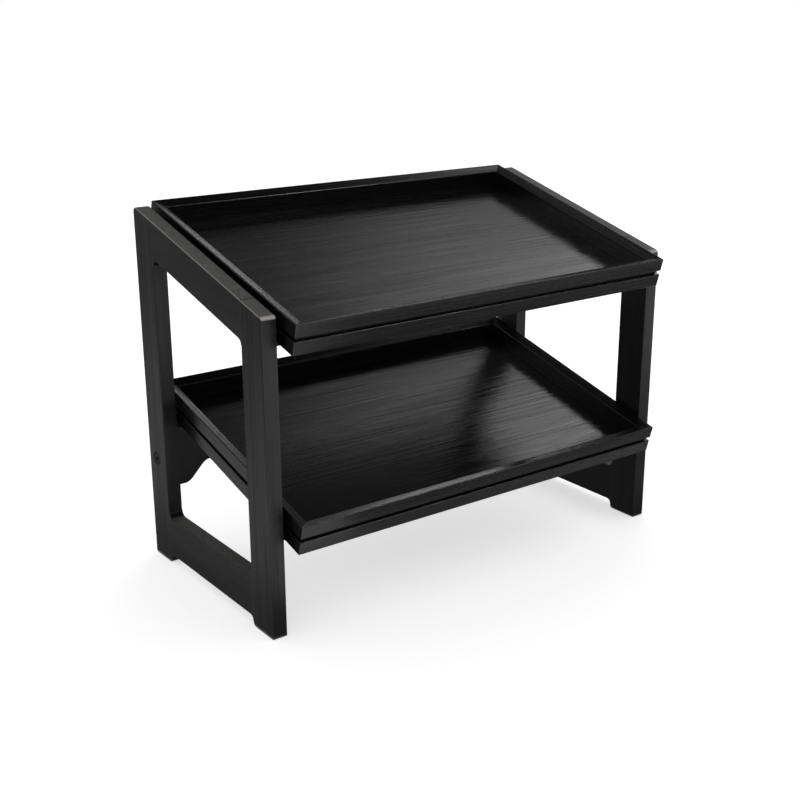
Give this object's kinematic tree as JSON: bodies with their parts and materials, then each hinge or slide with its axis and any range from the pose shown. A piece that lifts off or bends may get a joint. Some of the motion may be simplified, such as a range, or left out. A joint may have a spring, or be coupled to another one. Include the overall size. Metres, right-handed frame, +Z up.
{
  "type": "two-tier display stand",
  "caption": "Black stained wooden counter display stand: side frames joined by an arched rear apron carry sloping lift-off trays with grooved, mitred walls.",
  "frame": {"origin": "on the surface the stand rests on, midway across its width and its depth", "axes": "+X across the stand to its right-hand side as seen from the front, +Y to its back, +Z up"},
  "size_m": [0.576, 0.3228, 0.4403],
  "materials": {
    "frame_wood": "black stain under satin lacquer, grain along each piece",
    "apron_wood": "black stain under satin lacquer, grain across the stand",
    "tray_wood": "black stain under satin lacquer, grain along each wall",
    "tray_floor_wood": "black stain under semi-gloss lacquer, veneered panel",
    "peg_wood": "black stain, matt",
    "dowel_wood": "plain beech",
    "bolt_steel": "black plated steel",
    "nut_steel": "zinc plated"
  },
  "bodies": {
    "stand": {"left_front_post": "frame_wood", "left_rear_post": "frame_wood", "left_top_rail": "frame_wood", "left_bottom_rail": "frame_wood", "right_front_post": "frame_wood", "right_rear_post": "frame_wood", "right_top_rail": "frame_wood", "right_bottom_rail": "frame_wood", "rear_apron": "apron_wood", "left_lower_front_peg": "peg_wood", "left_lower_rear_peg": "peg_wood", "left_upper_front_peg": "peg_wood", "left_upper_rear_peg": "peg_wood", "right_lower_front_peg": "peg_wood", "right_lower_rear_peg": "peg_wood", "right_upper_front_peg": "peg_wood", "right_upper_rear_peg": "peg_wood", "left_top_rail_front_dowel_1": "dowel_wood", "left_top_rail_front_dowel_2": "dowel_wood", "left_top_rail_rear_dowel_1": "dowel_wood", "left_top_rail_rear_dowel_2": "dowel_wood", "left_bottom_rail_front_dowel_1": "dowel_wood", "left_bottom_rail_front_dowel_2": "dowel_wood", "left_bottom_rail_rear_dowel_1": "dowel_wood", "left_bottom_rail_rear_dowel_2": "dowel_wood", "right_top_rail_front_dowel_1": "dowel_wood", "right_top_rail_front_dowel_2": "dowel_wood", "right_top_rail_rear_dowel_1": "dowel_wood", "right_top_rail_rear_dowel_2": "dowel_wood", "right_bottom_rail_front_dowel_1": "dowel_wood", "right_bottom_rail_front_dowel_2": "dowel_wood", "right_bottom_rail_rear_dowel_1": "dowel_wood", "right_bottom_rail_rear_dowel_2": "dowel_wood", "left_apron_dowel_1": "dowel_wood", "left_apron_dowel_2": "dowel_wood", "right_apron_dowel_1": "dowel_wood", "right_apron_dowel_2": "dowel_wood", "left_apron_bolt": "bolt_steel", "right_apron_bolt": "bolt_steel", "left_barrel_nut": "nut_steel", "right_barrel_nut": "nut_steel"},
    "upper_tray": {"upper_tray_front_wall": "tray_wood", "upper_tray_back_wall": "tray_wood", "upper_tray_left_wall": "tray_wood", "upper_tray_right_wall": "tray_wood", "upper_tray_floor": "tray_floor_wood"},
    "lower_tray": {"lower_tray_front_wall": "tray_wood", "lower_tray_back_wall": "tray_wood", "lower_tray_left_wall": "tray_wood", "lower_tray_right_wall": "tray_wood", "lower_tray_floor": "tray_floor_wood"}
  },
  "joints": [
    {"name": "upper_tray_lift", "type": "slide", "parent": "stand", "child": "upper_tray", "axis": [0, -0.2588, 0.9659], "range_m": [0, 0.12]},
    {"name": "lower_tray_lift", "type": "slide", "parent": "stand", "child": "lower_tray", "axis": [0, -0.2588, 0.9659], "range_m": [0, 0.12]}
  ]
}
